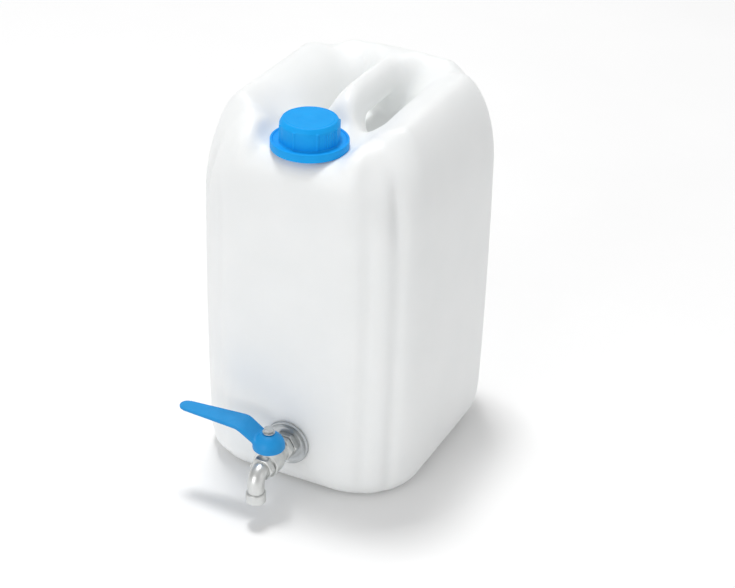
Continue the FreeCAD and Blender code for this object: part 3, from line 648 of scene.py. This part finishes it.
def principled(name, colour, roughness, metallic=0.0):
    """A principled material. Returns the material, its nodes, its links and its shader."""
    material = bpy.data.materials.new(name)
    material.use_nodes = True
    nodes, links = material.node_tree.nodes, material.node_tree.links
    shader = nodes["Principled BSDF"]
    shader.inputs["Base Color"].default_value = (*colour, 1)
    shader.inputs["Roughness"].default_value = roughness
    shader.inputs["Metallic"].default_value = metallic
    return material, nodes, links, shader


def noise(nodes, links, scale, detail):
    """Noise in object coordinates, in features per metre."""
    where = nodes.new("ShaderNodeTexCoord")
    texture = nodes.new("ShaderNodeTexNoise")
    texture.inputs["Scale"].default_value = scale
    texture.inputs["Detail"].default_value = detail
    links.new(where.outputs["Object"], texture.inputs["Vector"])
    return texture.outputs["Fac"]


def ramp(nodes, links, source, stops):
    """Colour or grey ramp."""
    node = nodes.new("ShaderNodeValToRGB")
    elements = node.color_ramp.elements
    while len(elements) < len(stops):
        elements.new(0.5)
    for element, (position, colour) in zip(elements, stops):
        element.position = position
        element.color = (*colour, 1) if len(colour) == 3 else (colour[0],) * 3 + (1,)
    links.new(source, node.inputs["Fac"])
    return node.outputs["Color"]


def bump(nodes, links, source, shader, strength, distance, previous=None):
    """Adds a bump to a shader's normal."""
    node = nodes.new("ShaderNodeBump")
    node.inputs["Strength"].default_value = strength
    node.inputs["Distance"].default_value = distance
    links.new(source, node.inputs["Height"])
    if previous is not None:
        links.new(previous, node.inputs["Normal"])
    links.new(node.outputs["Normal"], shader.inputs["Normal"])
    return node.outputs["Normal"]


PATCH_SCALE, WAVE_SCALE, WAVE_STRENGTH = 2.3, 1.4, 0.25
TONES = (0.3, 0.7)


def finish(name, colour, other, rough, metallic=0.0, grain=900.0, bump_strength=0.1, bump_distance=0.0002,
           cloud=30.0, specular=0.5):
    """Colour that drifts between two tones, roughness that drifts, and a fine grain bump.

    Scales are in features per metre: cloud for the drift, grain for the bump."""
    material, nodes, links, shader = principled(name, colour, rough[0], metallic)
    drift = noise(nodes, links, cloud, 4.0)
    links.new(ramp(nodes, links, drift, list(zip(TONES, (colour, other)))), shader.inputs["Base Color"])
    patch = noise(nodes, links, cloud * PATCH_SCALE, 3.0)
    greys = [(tone, (value,)) for tone, value in zip(TONES, rough)]
    links.new(ramp(nodes, links, patch, greys), shader.inputs["Roughness"])
    first = bump(nodes, links, noise(nodes, links, grain, 3.0), shader, bump_strength, bump_distance)
    wave = noise(nodes, links, cloud * WAVE_SCALE, 2.0)
    bump(nodes, links, wave, shader, WAVE_STRENGTH, bump_distance * 2.0, first)
    shader.inputs["Specular IOR Level"].default_value = specular
    return material


milky = finish("milky_hdpe", (0.86, 0.875, 0.87), (0.89, 0.90, 0.895), (0.40, 0.48), grain=700.0,
               bump_strength=0.05, bump_distance=0.0002, cloud=14.0)
milky_shader = milky.node_tree.nodes["Principled BSDF"]
for socket, value in (("Weight", 0.35), ("Radius", (1.0, 0.95, 0.9)), ("Scale", 0.006)):
    milky_shader.inputs["Subsurface " + socket].default_value = value
blue = finish("blue_cap_plastic", (0.003, 0.32, 0.79), (0.005, 0.35, 0.83), (0.46, 0.54), grain=2600.0,
              bump_strength=0.12, bump_distance=0.00008, cloud=60.0, specular=0.18)
paint = finish("blue_lever_paint", (0.007, 0.25, 0.60), (0.010, 0.275, 0.64), (0.40, 0.50), grain=1500.0,
               bump_strength=0.18, bump_distance=0.00012, cloud=90.0, specular=0.30)
nickel = finish("satin_nickel_plate", (0.62, 0.63, 0.62), (0.70, 0.71, 0.70), (0.34, 0.44), 1.0, grain=2200.0,
                bump_strength=0.14, bump_distance=0.00008, cloud=120.0)
steel = finish("stainless_steel", (0.50, 0.52, 0.53), (0.56, 0.58, 0.59), (0.32, 0.40), 1.0, grain=3000.0,
               bump_strength=0.10, bump_distance=0.00006, cloud=80.0)
chrome = finish("polished_ball_chrome", (0.70, 0.70, 0.71), (0.74, 0.74, 0.75), (0.06, 0.10), 1.0,
                grain=3000.0, bump_strength=0.03, bump_distance=0.00004, cloud=80.0)
rubber = finish("black_gasket_rubber", (0.018, 0.018, 0.019), (0.028, 0.028, 0.028), (0.62, 0.75),
                grain=2200.0, bump_strength=0.25, bump_distance=0.0001, cloud=150.0)
teflon = finish("white_ptfe", (0.80, 0.80, 0.78), (0.85, 0.85, 0.83), (0.45, 0.55), grain=1800.0,
                bump_strength=0.1, bump_distance=0.00008, cloud=120.0)
foam = finish("liner_foam", (0.72, 0.73, 0.72), (0.80, 0.81, 0.80), (0.75, 0.9), grain=1400.0,
              bump_strength=0.5, bump_distance=0.0003, cloud=200.0)


def dress(piece, material):
    """Gives a piece one material in every slot."""
    slots = piece.material_slots
    if not slots:
        piece.data.materials.append(material)
        return
    for s in slots:
        s.material = material


SLOT_MATERIAL = {"milky_plastic": milky, "blue_plastic": blue, "foam": foam, "black_rubber": rubber,
                 "satin_nickel": nickel, "bright_steel": steel, "polished_chrome": chrome,
                 "white_ptfe": teflon, "blue_paint": paint}
for entry in RECORD["subparts"]:
    dress(frame["nodes"][entry["node"]], SLOT_MATERIAL[entry["material_slot"]])

for piece, node, body, slot in (
        (can, "can_body", "can", "milky_plastic"),
        (cap, "screw_cap", "cap", "blue_plastic"),
        (ring, "tamper_ring", "can", "blue_plastic"),
        (rosette, "rosette", "can", "bright_steel"),
        (lever, "lever", "tap_handle", "blue_paint"),
        (valve, "valve_body", "can", "satin_nickel"),
        (locknut, "locknut", "can", "satin_nickel"),
        (spout_nut, "spout_nut", "can", "satin_nickel"),
        (spout, "spout", "can", "satin_nickel"),
        (collar, "outlet_collar", "can", "satin_nickel")):
    dress(piece, SLOT_MATERIAL[slot])
    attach(piece, body)
    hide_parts(node)


# ---------------------------------------------------------------- floor, light and camera

def floor_sheet():
    """A pale floor, just below the can's base."""
    half = 6.0
    corners = [(-half, -half, 0), (half, -half, 0), (half, half, 0), (-half, half, 0)]
    mesh = bpy.data.meshes.new("floor")
    mesh.from_pydata(corners, [], [(0, 1, 2, 3)])
    piece = bpy.data.objects.new("floor", mesh)
    bpy.context.scene.collection.objects.link(piece)
    material = finish("pale_floor", (0.90, 0.90, 0.90), (0.92, 0.92, 0.92), (0.9, 0.95), grain=200.0,
                      bump_strength=0.02, bump_distance=0.0002, cloud=3.0)
    piece.data.materials.append(material)
    piece.location.z = -0.0002


def area_light(name, location, target, size, power):
    """A soft rectangular light that faces a point."""
    data = bpy.data.lights.new(name, "AREA")
    data.shape = "RECTANGLE"
    data.size, data.size_y = size
    data.energy = power
    light = bpy.data.objects.new(name, data)
    bpy.context.scene.collection.objects.link(light)
    light.location = location
    direction = Vector(target) - Vector(location)
    light.rotation_euler = direction.to_track_quat("-Z", "Y").to_euler()


WORLD_STRENGTH = 0.56
MIDDLE_UP = 0.2
floor_sheet()
world = bpy.data.worlds.new("studio")
world.use_nodes = True
world.node_tree.nodes["Background"].inputs["Color"].default_value = (1, 1, 1, 1)
world.node_tree.nodes["Background"].inputs["Strength"].default_value = WORLD_STRENGTH
bpy.context.scene.world = world
area_light("overhead", (-0.70, 0.60, 5.0), (0, 0, MIDDLE_UP), (1.0, 1.0), 129.0)
area_light("fill", (-0.5, -3.2, 1.0), (0, 0, 0.15), (1.8, 1.4), 27.0)
area_light("side", (3.4, -0.4, 1.3), (0, 0, MIDDLE_UP), (1.4, 1.4), 6.0)
bpy.context.scene.view_settings.view_transform = "Standard"

AZIMUTH, ELEVATION, ROLL = 25.577, 30.020, 1.646
DISTANCE, FOCUS, SENSOR, FRAME_WIDTH = 2.0, 1867.77, 36.0, 735
LOOK_RIGHT, LOOK_UP = 0.01965, -0.03392
a, e, roll = (math.radians(v) for v in (AZIMUTH, ELEVATION, ROLL))
back = Vector((math.sin(a) * math.cos(e), -math.cos(a) * math.cos(e), math.sin(e)))
right = Vector((math.cos(a), math.sin(a), 0))
up = back.cross(right)
tilted_right = math.cos(roll) * right + math.sin(roll) * up
tilted_up = -math.sin(roll) * right + math.cos(roll) * up
target = Vector((0, 0, MIDDLE_UP)) + LOOK_RIGHT * right + Vector((0, 0, LOOK_UP))
camera_data = bpy.data.cameras.new("camera")
camera_data.lens = FOCUS / FRAME_WIDTH * SENSOR
camera_data.sensor_width = SENSOR
camera = bpy.data.objects.new("camera", camera_data)
bpy.context.scene.collection.objects.link(camera)
camera.matrix_world = Matrix((tilted_right, tilted_up, back)).transposed().to_4x4()
camera.location = target + back * DISTANCE
bpy.context.scene.camera = camera
